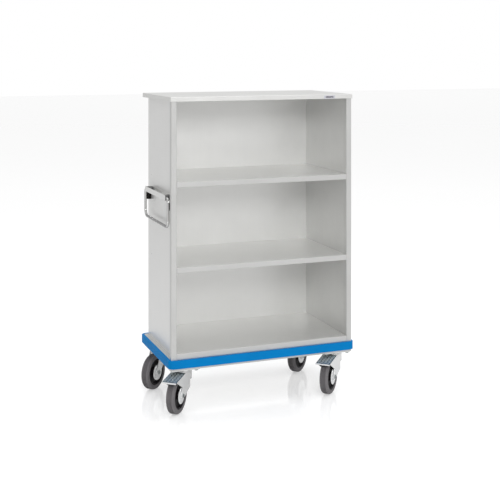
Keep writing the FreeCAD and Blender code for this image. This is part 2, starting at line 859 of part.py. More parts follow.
def brake_pedal(tag):
    """Foot pedal over the wheel, with cheeks that straddle the fork."""
    name = f"castor_{tag}_pedal"
    half = f"({CHEEK_INSIDE} + pedal_cheek)"
    tread = doc.addObject("Part::Box", f"{name}_tread")
    tie(tread, Length="pedal_length", Width=f"2 * {half}", Height="pedal_sheet")
    place(tread, "pedal_root", f"-{half}", f"{PEDAL_ROOT_Z} - pedal_sheet", (0, 1, 0), size("pedal_slope"))
    drop = "pedal_length * sin(pedal_slope * 1 deg)"
    tip_x = "pedal_root + pedal_length * cos(pedal_slope * 1 deg)"
    lip = rod(
        f"{name}_lip",
        "pedal_lip",
        f"2 * {half}",
        tip_x,
        f"-{half}",
        f"{PEDAL_ROOT_Z} - pedal_sheet - {drop}",
        "y",
    )
    pieces = [tread, lip]
    holes = []
    for side, y in (("near", CHEEK_INSIDE), ("far", f"-{half}")):
        top = f"{PEDAL_ROOT_Z} - pedal_sheet - {drop}"
        pieces += [
            taper(
                f"{name}_{side}_cheek",
                (PEDAL_CHEEK_LOW, "trail + leg_foot / 4", "trail + leg_foot"),
                (f"{top} + pedal_sheet / 2", "pedal_pin_x - pedal_ear / 2", f"{tip_x} - pedal_ear"),
                "pedal_cheek",
                y,
            ),
            taper(
                f"{name}_{side}_rise",
                (f"{top} + pedal_sheet / 2", "pedal_pin_x - pedal_ear / 2", f"{tip_x} - pedal_ear"),
                (
                    f"{PEDAL_ROOT_Z} - pedal_sheet / 2",
                    "pedal_pin_x - pedal_ear / 2",
                    "pedal_root + pedal_sheet",
                ),
                "pedal_cheek",
                y,
            ),
            rod(f"{name}_{side}_ear", "pedal_ear", "pedal_cheek", "pedal_pin_x", y, PEDAL_PIN_Z, "y"),
        ]
        holes.append(
            rod(
                f"{name}_{side}_hole",
                "pedal_pin_radius + running_gap",
                "pedal_cheek",
                "pedal_pin_x",
                y,
                PEDAL_PIN_Z,
                "y",
            )
        )
    node(at_kingpin(cut(name, fuse(f"{name}_blank", pieces), holes), tag))


def pedal_pin(tag):
    """Pin across the fork that the pedal turns on."""
    name = f"castor_{tag}_pedal_pin"
    reach = f"({CHEEK_INSIDE} + pedal_cheek + swivel_gap)"
    length = f"2 * {reach}"
    start = f"-{reach}"
    pin = rod(f"{name}_pin", "pedal_pin_radius", length, "pedal_pin_x", start, PEDAL_PIN_Z, "y")
    heads = [
        rod(
            f"{name}_{side}_head",
            "pedal_pin_radius * 3 / 2",
            "pedal_cheek",
            "pedal_pin_x",
            y,
            PEDAL_PIN_Z,
            "y",
        )
        for side, y in (("near", reach), ("far", f"-{reach} - pedal_cheek"))
    ]
    node(at_kingpin(fuse(name, [pin] + heads), tag))


# ---------------------------------------------------------------- assembly

top_panel()
front_post("front_post_left", LEFT)
front_post("front_post_right", WALL_RIGHT)
side_panel("side_panel_left", WALL_LEFT, "left")
side_panel("side_panel_right", WALL_RIGHT, "right")
back_panel()
shelf("shelf_upper", "upper_shelf", "shelf_edge")
shelf("shelf_lower", "lower_shelf", "shelf_edge")
shelf("shelf_floor", "floor_shelf", "(floor_shelf - base_top)")
shelf_rivets()
name_plate()
base_tray()
bumper()
castor_channel("castor_channel_left", CASTOR_X["l"])
castor_channel("castor_channel_right", CASTOR_X["r"])
castor_fasteners()
handle_bracket()
handle_bearings()
handle_buffers()
handle_grip()
bracket_screws()
for corner in CASTORS:
    castor_plate(corner)
    castor_race(corner)
    castor_kingpin(corner)
    castor_fork(corner)
    castor_tyre(corner)
    castor_rim(corner)
    castor_guards(corner)
    castor_axle(corner)
for corner in BRAKED:
    brake_pedal(corner)
    pedal_pin(corner)

doc.recompute()

# ---------------------------------------------------------------- export

failed = [o.Name for o in doc.Objects if "Invalid" in o.State or "Error" in o.State]
if failed:
    raise RuntimeError(f"objects failed to recompute: {failed}")
for part in nodes:
    if part.Shape.isNull() or not part.Shape.isValid():
        raise RuntimeError(f"{part.Label} has no valid shape")
os.makedirs("parts", exist_ok=True)
for part in nodes:
    part.Shape.exportStep(f"parts/{part.Label}.step")
    bounds = part.Shape.BoundBox
    print(
        f"{part.Label}: {len(part.Shape.Solids)} solids, {part.Shape.Volume:.0f} mm3,"
        f" z {bounds.ZMin:.1f} to {bounds.ZMax:.1f}"
    )
print(f"{len(nodes)} nodes")
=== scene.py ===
import json
import math

import bmesh
import bpy
from mathutils import Matrix, Vector


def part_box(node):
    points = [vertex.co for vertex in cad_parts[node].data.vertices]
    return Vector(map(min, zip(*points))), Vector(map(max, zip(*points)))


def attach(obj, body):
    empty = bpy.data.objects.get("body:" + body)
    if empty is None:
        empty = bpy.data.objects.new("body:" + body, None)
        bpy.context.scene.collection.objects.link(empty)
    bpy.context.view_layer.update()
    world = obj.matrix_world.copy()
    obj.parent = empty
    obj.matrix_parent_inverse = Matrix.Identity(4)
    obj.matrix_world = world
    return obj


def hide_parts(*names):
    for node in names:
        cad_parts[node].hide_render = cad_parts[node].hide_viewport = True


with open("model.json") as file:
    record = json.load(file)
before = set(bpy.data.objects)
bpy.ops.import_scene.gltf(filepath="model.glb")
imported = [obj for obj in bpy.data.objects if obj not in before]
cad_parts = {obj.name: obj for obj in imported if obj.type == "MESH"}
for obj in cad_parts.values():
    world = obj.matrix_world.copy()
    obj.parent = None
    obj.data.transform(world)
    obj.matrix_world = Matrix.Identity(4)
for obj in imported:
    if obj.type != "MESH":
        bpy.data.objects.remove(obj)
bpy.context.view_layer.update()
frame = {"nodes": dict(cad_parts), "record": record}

RECORD = frame["record"]

# ------------------------------------------------------------------ sizes, metres

HALF_W = 0.4375
HALF_D = 0.2325
TOP = 1.388
LID_LAP = 0.004
LID_EDGE = 0.020
SHEET = 0.0015
POST = 0.025
FOLD = 0.0022
BASE_TOP = 0.234
BASE_LOW = 0.187
BASE_SHEET = 0.002
SHELVES = {"shelf_upper": (1.015, 0.025), "shelf_lower": (0.639, 0.025), "shelf_floor": (0.261, 0.027)}
SHELF_LIP = 0.012
HEM_FIND = 0.0001
BUMPER_LOW = 0.198
BUMPER_HEIGHT = 0.036
BUMPER_WALL = 0.012
BUMPER_CORNER = 0.028
BUMPER_EDGE = 0.004

PIVOT_X = -0.4395
PIVOT_Z = 0.938
GRIP_R = 0.006
GRIP_SPAN = 0.190
GRIP_BEND = 0.020
GRIP_LOW_BEND = 0.032
GRIP_DROP = 0.128
JOURNAL_END = 0.141
BRACKET_X = (-0.448, -0.414)
BRACKET_HALF = 0.167
BRACKET_HEIGHT = 0.024
BUFFER_WIDTH = 0.016

KINGPINS = {"fl": (-0.370, -0.175), "fr": (0.370, -0.175), "rl": (-0.370, 0.175), "rr": (0.370, 0.175)}
YAWS = {"fl": 230, "fr": 226, "rl": 222, "rr": 221}
BRAKED = ("fl", "fr")
TRAIL = 0.064
WHEEL_R = 0.080
TYRE_HALF = 0.019
SEAT_R = 0.060
GROOVES = (-0.0078, -0.0026)
FORK_HALF = 0.0275
FORK_SHEET = 0.0035
PLATE_LOW = 0.183
PLATE_HALF = (0.0675, 0.055)
PLATE_CORNER = 0.008
CUP_R = 0.036
CUP_DEPTH = 0.006
BOLT_SPOTS = [(dx, dy) for dx in (-0.0525, 0.0525) for dy in (-0.040, 0.040)]
BOLT_HEAD = 0.0092
BOLT_R = 0.005
BOLT_SOFT = 0.0005
BOLT_TOP = 0.200

# sides and steps of round shapes
ROUND = 96
HEX = 6
DISC_SIDES = 64
BAR_SIDES = 28
BEND_STEPS = 12
ARC_STEPS = 8

# tolerances
WELD = 0.000005
LEVEL = 1e-6
SQUARE_ON = 0.9

# rounding of edges
FINE_SOFT = 0.0003
EDGE_SOFT = 0.0006
CROWN_SOFT = 0.0014
CUP_SOFT = 0.0016
SHEET_SOFT = 0.0012
CHEEK_SOFT = 0.0007
HEAD_SOFT = 0.0007
BUFFER_SOFT = 0.003

# fork, in the kingpin's own axes
CROWN_BACK = -0.038
CROWN_FRONT = 0.034
CROWN_LOW = 0.165
CROWN_TOP = 0.169
RACE_TOP = 0.1732
SKIRT_LOW = 0.127
LEG_TOP_FRONT = 0.047
LEG_WAIST = (0.0755, 0.097)
LEG_BACK = -0.018
SLIM_BACK = 0.034
SLIM_STEP = 0.145
LEG_HEEL = 0.096
LEG_FOOT = 0.017
LEG_SOFT = 0.0009
LEG_CORNER = 0.004
FOOT_START = 35
FOOT_SWEEP = 155

# tyre, its side wall as (height above the seat, distance in from the side)
SIDE_WALL = [(0, 0.001), (0.0015, 0), (0.004, 0), (0.0048, 0.0008), (0.0056, 0)]
TYRE_SHOULDER = 0.009
GROOVE_HALF = 0.0016
GROOVE_FLOOR = 0.0009
GROOVE_DEPTH = 0.0030

# wheel centre and guard sections as (radius, offset from the middle)
RIM_SECTION = [
    (0.0062, 0.023),
    (0.0185, 0.023),
    (0.0200, 0.0215),
    (0.0205, 0.0075),
    (0.0240, 0.0052),
    (0.0460, 0.0052),
    (0.0500, 0.0075),
    (0.0520, 0.0150),
    (0.0535, 0.0165),
    (0.0560, 0.0168),
    (0.0568, 0.0160),
    (0.0576, 0.0168),
    (0.0592, 0.0168),
    (0.0600, 0.0160),
]
GUARD_INNER = 0.0233
GUARD_OUTER = 0.0273
GUARD_SECTION = [
    (0.0062, GUARD_OUTER),
    (0.0140, GUARD_OUTER),
    (0.0160, GUARD_OUTER - 0.0008),
    (0.0185, GUARD_OUTER - 0.0022),
    (0.0220, GUARD_OUTER - 0.0026),
    (0.0245, GUARD_OUTER - 0.0018),
    (0.0270, GUARD_OUTER - 0.0016),
    (0.0310, GUARD_OUTER - 0.0022),
    (0.0345, GUARD_OUTER - 0.0034),
    (0.0360, GUARD_INNER + 0.0002),
    (0.0356, GUARD_INNER),
    (0.0062, GUARD_INNER),
    (0.0062, GUARD_OUTER),
]

# eyelets pressed into the guards
EYELETS = 5
EYELET_RING = 0.0255
EYELET_R = 0.0026
EYELET_START = 36
EYELET_BACK = 0.0022
EYELET_FRONT = 0.0009
EYELET_SOFT = 0.0004

# axle bolt, its ends measured from the fork's outer faces
AXLE_R = 0.0059
WASHER_R = 0.0108
WASHER = 0.0010
NUT_R = 0.0096
AXLE_NEAR = 0.0030
AXLE_FAR = 0.0048
NUT_OUT = 0.0044
HEAD_OUT = 0.0049

# pedal
PEDAL_HALF = 0.0335
PEDAL_ROOT = (0.044, 0, 0.1735)
PEDAL_LENGTH = 0.106
PEDAL_SHEET = 0.003
PEDAL_SLOPE = 8.1
TREAD_START = (0.012, -0.0232)
TREAD_STEP = (0.0098, 0.0155)
TREAD_SHIFT = 0.0012
TREAD_BAR = (0.0046, 0.0055)
TREAD_ROWS = 9
TREAD_COLUMNS = 4
TREAD_SUNK = -0.0006
TREAD_PROUD = 0.0012
LIP_R = 0.0034
CHEEK = 0.002
CHEEK_CORNER = 0.003
CHEEK_OUTLINE = [
    (0.0695, 0.123),
    (0.081, 0.123),
    (0.128, 0.1495),
    (0.139, 0.1578),
    (0.047, 0.1722),
    (0.036, 0.1720),
    (0.034, 0.160),
]
HOOK_REACH = 0.006
HOOK_LOW = (0.0745, 0.1226)
HOOK_HIGH = (0.081, 0.1246)

# blank plate on the lid
INLAY_MARGIN = (0.0085, 0, 0.0035)
INLAY_DEPTH = 0.0004
INLAY_SOFT = 0.0001

# looks
BUMP_REACH = 0.0002
CLOUDY = (0.3, 0.7)
COARSE = 0.17
FINE_SHARE = 0.6
COARSE_SHARE = 0.4
SCUFF_SCALE = 14.0
SCUFF_RANGE = (0.62, 0.78)
METAL_WEAR = 5.0
METAL_SHADE = (0.45, 1.05)
GRAIN_SHARE = 0.5
GRAIN_ROUGH = 0.04
MOULDED_WEAR = 9.0
MOULDED_SHADE = (0.35, 0.85)
SKIN_SHARE = 0.4
POLISHED_WEAR = 8.0
PAINTED_REFLECTION_BLEND = 0.45
PAINTED_REFLECTION_EDGE = 0.95
POLISHED_CLOUDS = 0.25

# grain directions
UPRIGHT = (1.0, 1.0, 0.015)
ALONG_X = (0.015, 1.0, 1.0)
EVEN = (1.0, 1.0, 1.0)

# ------------------------------------------------------------------ node helpers


def link(tree, source, target):
    """Join one socket to another."""
    tree.links.new(source, target)


def shader_node(tree, kind, **settings):
    """A shader node with some of its own settings changed."""
    made = tree.nodes.new(kind)
    for key, value in settings.items():
        setattr(made, key, value)
    return made


def math_node(tree, operation, first, second=None):
    """A maths node fed by sockets or plain values."""
    made = shader_node(tree, "ShaderNodeMath", operation=operation)
    for index, value in enumerate((first, second)):
        if value is None:
            continue
        if isinstance(value, (int, float)):
            made.inputs[index].default_value = value
        else:
            link(tree, value, made.inputs[index])
    return made.outputs[0]


def ranged(tree, source, low, high, start=0.0, end=1.0):
    """A value carried from one range to another."""
    made = shader_node(tree, "ShaderNodeMapRange")
    link(tree, source, made.inputs["Value"])
    for name, value in (("From Min", start), ("From Max", end), ("To Min", low), ("To Max", high)):
        if isinstance(value, (int, float)):
            made.inputs[name].default_value = value
        else:
            link(tree, value, made.inputs[name])
    return made.outputs["Result"]


def noise(tree, vector, scale, detail=3.0, roughness=0.5):
    """Fractal noise at one scale."""
    made = shader_node(tree, "ShaderNodeTexNoise")
    link(tree, vector, made.inputs["Vector"])
    for name, value in (("Scale", scale), ("Detail", detail), ("Roughness", roughness)):
        if isinstance(value, (int, float)):
            made.inputs[name].default_value = value
        else:
            link(tree, value, made.inputs[name])
    return made.outputs["Fac"]


def group_shell(name, inputs, outputs):
    """An empty shader node group with named sockets."""
    tree = bpy.data.node_groups.new(name, "ShaderNodeTree")
    for label, kind, value in inputs:
        socket = tree.interface.new_socket(name=label, in_out="INPUT", socket_type=kind)
        if value is not None:
            socket.default_value = value
    for label, kind in outputs:
        tree.interface.new_socket(name=label, in_out="OUTPUT", socket_type=kind)
    entry = tree.nodes.new("NodeGroupInput")
    leave = tree.nodes.new("NodeGroupOutput")
    return tree, entry.outputs, leave.inputs


def grain_group():
    """Brushed grain: fine streaks drawn out along one axis, as a tone and a normal."""
    tree, entry, leave = group_shell(
        "brushed_grain",
        (
            ("Vector", "NodeSocketVector", None),
            ("Stretch", "NodeSocketVector", (1.0, 1.0, 0.02)),
            ("Scale", "NodeSocketFloat", 900.0),
            ("Depth", "NodeSocketFloat", 0.05),
        ),
        (("Tone", "NodeSocketFloat"), ("Normal", "NodeSocketVector")),
    )
    stretch = shader_node(tree, "ShaderNodeVectorMath", operation="MULTIPLY")
    link(tree, entry["Vector"], stretch.inputs[0])
    link(tree, entry["Stretch"], stretch.inputs[1])
    fine = noise(tree, stretch.outputs[0], entry["Scale"], 4.0, 0.6)
    coarse = noise(tree, stretch.outputs[0], math_node(tree, "MULTIPLY", entry["Scale"], COARSE), 2.0)
    strong = math_node(tree, "MULTIPLY", fine, FINE_SHARE)
    weak = math_node(tree, "MULTIPLY", coarse, COARSE_SHARE)
    streaks = math_node(tree, "ADD", strong, weak)
    bump = shader_node(tree, "ShaderNodeBump")
    bump.inputs["Distance"].default_value = BUMP_REACH
    link(tree, entry["Depth"], bump.inputs["Strength"])
    link(tree, streaks, bump.inputs["Height"])
    link(tree, streaks, leave["Tone"])
    link(tree, bump.outputs["Normal"], leave["Normal"])
    return tree


def wear_group():
    """Handling marks: soft cloudy patches with a few fine scuffs."""
    tree, entry, leave = group_shell(
        "handling_wear",
        (
            ("Vector", "NodeSocketVector", None),
            ("Scale", "NodeSocketFloat", 6.0),
            ("Scuffs", "NodeSocketFloat", 0.2),
        ),
        (("Patches", "NodeSocketFloat"), ("Marks", "NodeSocketFloat")),
    )
    clouds = noise(tree, entry["Vector"], entry["Scale"], 4.0, 0.55)
    finer = math_node(tree, "MULTIPLY", entry["Scale"], SCUFF_SCALE)
    bent = noise(tree, entry["Vector"], finer, 6.0, 0.7)
    marks = math_node(tree, "MULTIPLY", ranged(tree, bent, 0.0, 1.0, *SCUFF_RANGE), entry["Scuffs"])
    link(tree, clouds, leave["Patches"])
    link(tree, marks, leave["Marks"])
    return tree


def skin_group():
    """Moulded or pressed skin: a fine pebbled surface as a tone and a normal."""
    tree, entry, leave = group_shell(
        "moulded_skin",
        (
            ("Vector", "NodeSocketVector", None),
            ("Scale", "NodeSocketFloat", 500.0),
            ("Depth", "NodeSocketFloat", 0.2),
        ),
        (("Tone", "NodeSocketFloat"), ("Normal", "NodeSocketVector")),
    )
    cells = shader_node(tree, "ShaderNodeTexVoronoi")
    link(tree, entry["Vector"], cells.inputs["Vector"])
    link(tree, entry["Scale"], cells.inputs["Scale"])
    speckle = noise(tree, entry["Vector"], entry["Scale"], 2.0)
    height = math_node(tree, "MULTIPLY", cells.outputs["Distance"], speckle)
    bump = shader_node(tree, "ShaderNodeBump")
    bump.inputs["Distance"].default_value = BUMP_REACH
    link(tree, entry["Depth"], bump.inputs["Strength"])
    link(tree, height, bump.inputs["Height"])
    link(tree, height, leave["Tone"])
    link(tree, bump.outputs["Normal"], leave["Normal"])
    return tree


GRAIN = grain_group()
WEAR = wear_group()
SKIN = skin_group()


def use(tree, group, vector, **values):
    """A copy of an effect group with its named inputs set."""
    made = tree.nodes.new("ShaderNodeGroup")
    made.node_tree = group
    link(tree, vector, made.inputs["Vector"])
    for name, value in values.items():
        made.inputs[name].default_value = value
    return made.outputs


def tinted(tree, factor, dark, light):
    """A colour between two, by a varying factor."""
    mix = shader_node(tree, "ShaderNodeMix", data_type="RGBA")
    link(tree, factor, mix.inputs["Factor"])
    mix.inputs[6].default_value = (*dark, 1.0)
    mix.inputs[7].default_value = (*light, 1.0)
    return mix.outputs[2]


def material_shell(name, metallic=0.0, coat=0.0, specular=0.5):
    """A material with its Principled shader and Object coordinates."""
    made = bpy.data.materials.new(name)
    made.use_nodes = True
    tree = made.node_tree
    shader = tree.nodes["Principled BSDF"]
    shader.inputs["Metallic"].default_value = metallic
    shader.inputs["Coat Weight"].default_value = coat
    shader.inputs["Specular IOR Level"].default_value = specular
    where = shader_node(tree, "ShaderNodeTexCoord").outputs["Object"]
    return made, tree, shader, where


def metal(name, dark, light, rough, stretch, scale, depth, scuffs, solid=1.0):
    """Metal with a grain along one axis and handling marks."""
    made, tree, shader, where = material_shell(name, metallic=solid)
    grain = use(tree, GRAIN, where, Stretch=stretch, Scale=scale, Depth=depth)
    wear = use(tree, WEAR, where, Scale=METAL_WEAR, Scuffs=scuffs)
    share = math_node(tree, "MULTIPLY", grain["Tone"], GRAIN_SHARE)
    tone = math_node(tree, "ADD", share, wear["Patches"])
    shade = tinted(tree, ranged(tree, tone, 0.0, 1.0, *METAL_SHADE), dark, light)
    link(tree, shade, shader.inputs["Base Color"])
    base = ranged(tree, wear["Patches"], *rough, *CLOUDY)
    streaks = ranged(tree, grain["Tone"], -GRAIN_ROUGH, GRAIN_ROUGH, *CLOUDY)
    streaky = math_node(tree, "ADD", base, streaks)
    link(tree, math_node(tree, "ADD", streaky, wear["Marks"]), shader.inputs["Roughness"])
    link(tree, grain["Normal"], shader.inputs["Normal"])
    return made


def moulded(name, dark, light, rough, scale, depth, scuffs, specular=0.5):
    """Plastic or rubber with a fine skin and handling marks."""
    made, tree, shader, where = material_shell(name, specular=specular)
    skin = use(tree, SKIN, where, Scale=scale, Depth=depth)
    wear = use(tree, WEAR, where, Scale=MOULDED_WEAR, Scuffs=scuffs)
    share = math_node(tree, "MULTIPLY", skin["Tone"], SKIN_SHARE)
    tone = math_node(tree, "ADD", wear["Patches"], share)
    shade = tinted(tree, ranged(tree, tone, 0.0, 1.0, *MOULDED_SHADE), dark, light)
    link(tree, shade, shader.inputs["Base Color"])
    base = ranged(tree, wear["Patches"], *rough, *CLOUDY)
    link(tree, math_node(tree, "ADD", base, wear["Marks"]), shader.inputs["Roughness"])
    link(tree, skin["Normal"], shader.inputs["Normal"])
    return made


def metal_with_painted_reflection(name, bright, reflected_dark, reach, rough, scale, depth, scuffs, solid=1.0):
    """Bright metal with a painted reflection: its sides that face away from the view are painted darker, as
    a darker room would show in them.
    """
    made, tree, shader, where = material_shell(name, metallic=solid)
    grain = use(tree, GRAIN, where, Stretch=EVEN, Scale=scale, Depth=depth)
    wear = use(tree, WEAR, where, Scale=POLISHED_WEAR, Scuffs=scuffs)
    # Painted reflection: faces seen edge-on are painted in the darker colour.
    facing = shader_node(tree, "ShaderNodeLayerWeight")
    facing.inputs["Blend"].default_value = PAINTED_REFLECTION_BLEND
    worn = math_node(tree, "MULTIPLY", wear["Patches"], POLISHED_CLOUDS)
    painted_reflection = ranged(tree, facing.outputs["Facing"], 0.0, PAINTED_REFLECTION_EDGE, *reach)
    edge = math_node(tree, "ADD", painted_reflection, worn)
    link(tree, tinted(tree, edge, bright, reflected_dark), shader.inputs["Base Color"])
    base = ranged(tree, wear["Patches"], *rough, *CLOUDY)
    link(tree, math_node(tree, "ADD", base, wear["Marks"]), shader.inputs["Roughness"])
    link(tree, grain["Normal"], shader.inputs["Normal"])
    return made


SHEEN = 0.6
STEEL_DARK = (0.86, 0.86, 0.85)
STEEL_LIGHT = (0.91, 0.91, 0.90)
# Posts, shelf fronts and base tray: the satin steel painted darker, a painted-shade copy of the one steel.
FRAME_SHADE_DARK = (0.62, 0.62, 0.61)
FRAME_SHADE_LIGHT = (0.67, 0.67, 0.66)
# Back wall: the satin steel painted lighter, painted light inside the cabinet.
LIT_LINING_DARK = (0.87, 0.87, 0.855)
LIT_LINING_LIGHT = (0.93, 0.93, 0.915)
# Shelf tops: the satin steel painted a little darker, a painted-shade copy.
TRAY_SHADE_DARK = (0.80, 0.80, 0.785)
TRAY_SHADE_LIGHT = (0.86, 0.86, 0.845)
# Lid: the satin steel painted darker, a painted-shade copy.
LID_SHADE_DARK = (0.78, 0.78, 0.765)
LID_SHADE_LIGHT = (0.83, 0.83, 0.815)
# Right end wall, seen from inside: the satin steel painted darker, painted shade.
SHADED_DARK = (0.62, 0.62, 0.61)
SHADED_LIGHT = (0.70, 0.70, 0.69)

SATIN = (0.33, 0.39)


def sheet_steel(name, dark, light, stretch, scuffs=0.03):
    """Satin sheet steel in its own tone; the tones below are lit and shaded copies of one steel, painted
    light and painted shade.
    """
    return metal(name, dark, light, SATIN, stretch, scale=900.0, depth=0.05, scuffs=scuffs, solid=SHEEN)


STEEL = sheet_steel("satin_steel", STEEL_DARK, STEEL_LIGHT, UPRIGHT)
LID_SHADE = sheet_steel("lid_steel_painted_shade", LID_SHADE_DARK, LID_SHADE_LIGHT, ALONG_X, scuffs=0.05)
FRAME_SHADE = sheet_steel("frame_steel_painted_shade", FRAME_SHADE_DARK, FRAME_SHADE_LIGHT, UPRIGHT)
LIT_LINING = sheet_steel("lining_steel_painted_light", LIT_LINING_DARK, LIT_LINING_LIGHT, UPRIGHT)
TRAY_SHADE = sheet_steel("tray_steel_painted_shade", TRAY_SHADE_DARK, TRAY_SHADE_LIGHT, ALONG_X, scuffs=0.05)
SHADED = sheet_steel("end_wall_steel_painted_shade", SHADED_DARK, SHADED_LIGHT, UPRIGHT)
# Grip bar: painted reflection, darker where seen edge-on.
GRIP = metal_with_painted_reflection(
    "polished_bar_painted_reflection",
    bright=(0.74, 0.74, 0.73),
    reflected_dark=(0.10, 0.10, 0.11),
    reach=(0.35, 0.95),
    rough=(0.16, 0.24),
    scale=700.0,
    depth=0.02,
    scuffs=0.05,
)
# Zinc parts: painted reflection, bright face-on and darker where seen edge-on.
ZINC = metal_with_painted_reflection(
    "zinc_plate_painted_reflection",
    bright=(1.0, 1.0, 1.0),
    reflected_dark=(0.20, 0.25, 0.26),
    reach=(0.72, 1.05),
    rough=(0.14, 0.24),
    scale=260.0,
    depth=0.06,
    scuffs=0.10,
    solid=0.45,
)
DARK_ZINC = metal(
    "dark_fasteners",
    dark=(0.22, 0.25, 0.25),
    light=(0.38, 0.41, 0.41),
    rough=(0.30, 0.42),
    stretch=EVEN,
    scale=400.0,
    depth=0.05,
    scuffs=0.08,
)
TREAD = metal(
    "pedal_tread",
    dark=(0.13, 0.17, 0.18),
    light=(0.38, 0.44, 0.45),
    rough=(0.34, 0.50),
    stretch=EVEN,
    scale=300.0,
    depth=0.15,
    scuffs=0.15,
)
# Tread bars: painted lighter than the pedal, a painted highlight on the ridges.
RIDGE_HIGHLIGHT = metal(
    "ridge_painted_highlight",
    dark=(0.62, 0.68, 0.69),
    light=(0.90, 0.94, 0.95),
    rough=(0.28, 0.40),
    stretch=EVEN,
    scale=300.0,
    depth=0.10,
    scuffs=0.15,
)
BLUE = moulded(
    "bumper_plastic",
    dark=(0.0, 0.205, 0.55),
    light=(0.0, 0.232, 0.61),
    rough=(0.48, 0.56),
    scale=700.0,
    depth=0.10,
    scuffs=0.08,
    specular=0.08,
)
TYRE = moulded(
    "tyre_rubber",
    dark=(0.150, 0.142, 0.148),
    light=(0.215, 0.205, 0.212),
    rough=(0.50, 0.64),
    scale=900.0,
    depth=0.30,
    scuffs=0.10,
    specular=0.25,
)
BLACK = moulded(
    "black_plastic",
    dark=(0.006, 0.005, 0.006),
    light=(0.014, 0.012, 0.014),
    rough=(0.40, 0.52),
    scale=800.0,
    depth=0.15,
    scuffs=0.10,
    specular=0.2,
)
NYLON = moulded(
    "grey_nylon",
    dark=(0.13, 0.13, 0.13),
    light=(0.20, 0.20, 0.20),
    rough=(0.45, 0.55),
    scale=800.0,
    depth=0.10,
    scuffs=0.05,
    specular=0.2,
)
RUBBER = moulded(
    "buffer_rubber",
    dark=(0.012, 0.011, 0.010),
    light=(0.026, 0.024, 0.022),
    rough=(0.55, 0.70),
    scale=600.0,
    depth=0.30,
    scuffs=0.05,
    specular=0.1,
)
PLATE = moulded(
    "plate_enamel",
    dark=(0.56, 0.56, 0.62),
    light=(0.66, 0.66, 0.72),
    rough=(0.22, 0.30),
    scale=300.0,
    depth=0.05,
    scuffs=0.02,
)
INLAY = moulded(
    "plate_inlay",
    dark=(0.05, 0.05, 0.11),
    light=(0.08, 0.08, 0.15),
    rough=(0.35, 0.45),
    scale=300.0,
    depth=0.05,
    scuffs=0.02,
)

SLOT_LOOKS = {
    "cabinet_steel": STEEL,
    "bumper_blue": BLUE,
    "plate_white": PLATE,
    "tyre_grey": TYRE,
    "rim_black": BLACK,
    "buffer_rubber": RUBBER,
    "bearing_grey": NYLON,
    "grip_steel": GRIP,
    "pedal_steel": TREAD,
    "zinc_plated": ZINC,
}
# The back wall takes the painted-light copy of the steel, and the right end wall takes the painted-shade
# copy.
NODE_LOOKS = {"back_panel": LIT_LINING, "side_panel_right": SHADED}


def paint_frame():
    """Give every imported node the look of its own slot, or its own look where it has one."""
    for entry in RECORD["subparts"]:
        mesh = frame["nodes"][entry["node"]].data
        mesh.materials.clear()
        mesh.materials.append(NODE_LOOKS.get(entry["node"], SLOT_LOOKS[entry["material_slot"]]))


# ------------------------------------------------------------------ mesh helpers


def finish_piece(name, bm, looks, body, nodes, sharp=32):
    """Turn a bmesh into a named piece that rides on a body and stands for CAD nodes."""
    bmesh.ops.remove_doubles(bm, verts=bm.verts, dist=WELD)
    bmesh.ops.recalc_face_normals(bm, faces=bm.faces)
    mesh = bpy.data.meshes.new(name)
    bm.to_mesh(mesh)
    bm.free()
    piece = bpy.data.objects.new(name, mesh)
    bpy.context.scene.collection.objects.link(piece)
    for look in looks:
        mesh.materials.append(look)
    mesh.shade_smooth()
    mesh.set_sharp_from_angle(angle=math.radians(sharp))
    even = piece.modifiers.new("even_normals", "WEIGHTED_NORMAL")
    even.keep_sharp = True
    even.weight = 100
    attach(piece, body)
    if nodes:
        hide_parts(*nodes)
    return piece


def faces_of(verts):
    """The faces that have any of these vertices."""
    return list({face for vert in verts for face in vert.link_faces})


def edges_of(verts):
    """The edges that have any of these vertices."""
    return list({edge for vert in verts for edge in vert.link_edges})


def rise(edge):
    """How far an edge climbs."""
    return abs(edge.verts[0].co.z - edge.verts[1].co.z)


def block(bm, low, high):
    """A plain block's vertices, between two corners."""
    low = Vector(low)
    high = Vector(high)
    made = bmesh.ops.create_cube(bm, size=1.0)["verts"]
    bmesh.ops.scale(bm, vec=high - low, verts=made)
    bmesh.ops.translate(bm, vec=(low + high) / 2, verts=made)
    return made


def bevel(bm, edges, radius, segments=3):
    """Round some edges and return the new faces."""
    return bmesh.ops.bevel(
        bm,
        geom=edges,
        offset=radius,
        offset_type="OFFSET",
        segments=segments,
        profile=0.5,
        affect="EDGES",
        clamp_overlap=True,
        material=-1,
    )["faces"]


def slab(bm, low, high, radius, segments=3, look=0):
    """A block with all its edges rounded."""
    verts = block(bm, low, high)
    faces = faces_of(verts)
    for face in faces:
        face.material_index = look
    bevel(bm, edges_of(verts), radius, segments)


def folded(bm, low, high, radius, open_sides):
    """Sheet folded to a block's outline and left open on some sides."""
    verts = block(bm, low, high)
    sides = [Vector(side) for side in open_sides]
    for face in faces_of(verts):
        face.normal_update()
    gone = [face for face in faces_of(verts) if any(face.normal.dot(side) > SQUARE_ON for side in sides)]
    bmesh.ops.delete(bm, geom=gone, context="FACES_ONLY")
    bevel(bm, [edge for edge in bm.edges if len(edge.link_faces) == 2], radius, segments=4)


def thicken(bm, wall):
    """Give folded sheet its thickness, inwards."""
    bmesh.ops.recalc_face_normals(bm, faces=bm.faces)
    bmesh.ops.solidify(bm, geom=list(bm.faces), thickness=wall)


def lathe(bm, profile, centre, axis, steps=ROUND):
    """Spin (radius, offset) points a full turn round an axis."""
    axis = Vector(axis)
    out = axis.orthogonal().normalized()
    centre = Vector(centre)
    verts = [bm.verts.new(centre + out * radius + axis * offset) for radius, offset in profile]
    edges = [bm.edges.new(pair) for pair in zip(verts, verts[1:])]
    bmesh.ops.spin(
        bm,
        geom=verts + edges,
        cent=centre,
        axis=axis,
        angle=2 * math.pi,
        steps=steps,
        use_merge=True,
        use_duplicate=False,
    )


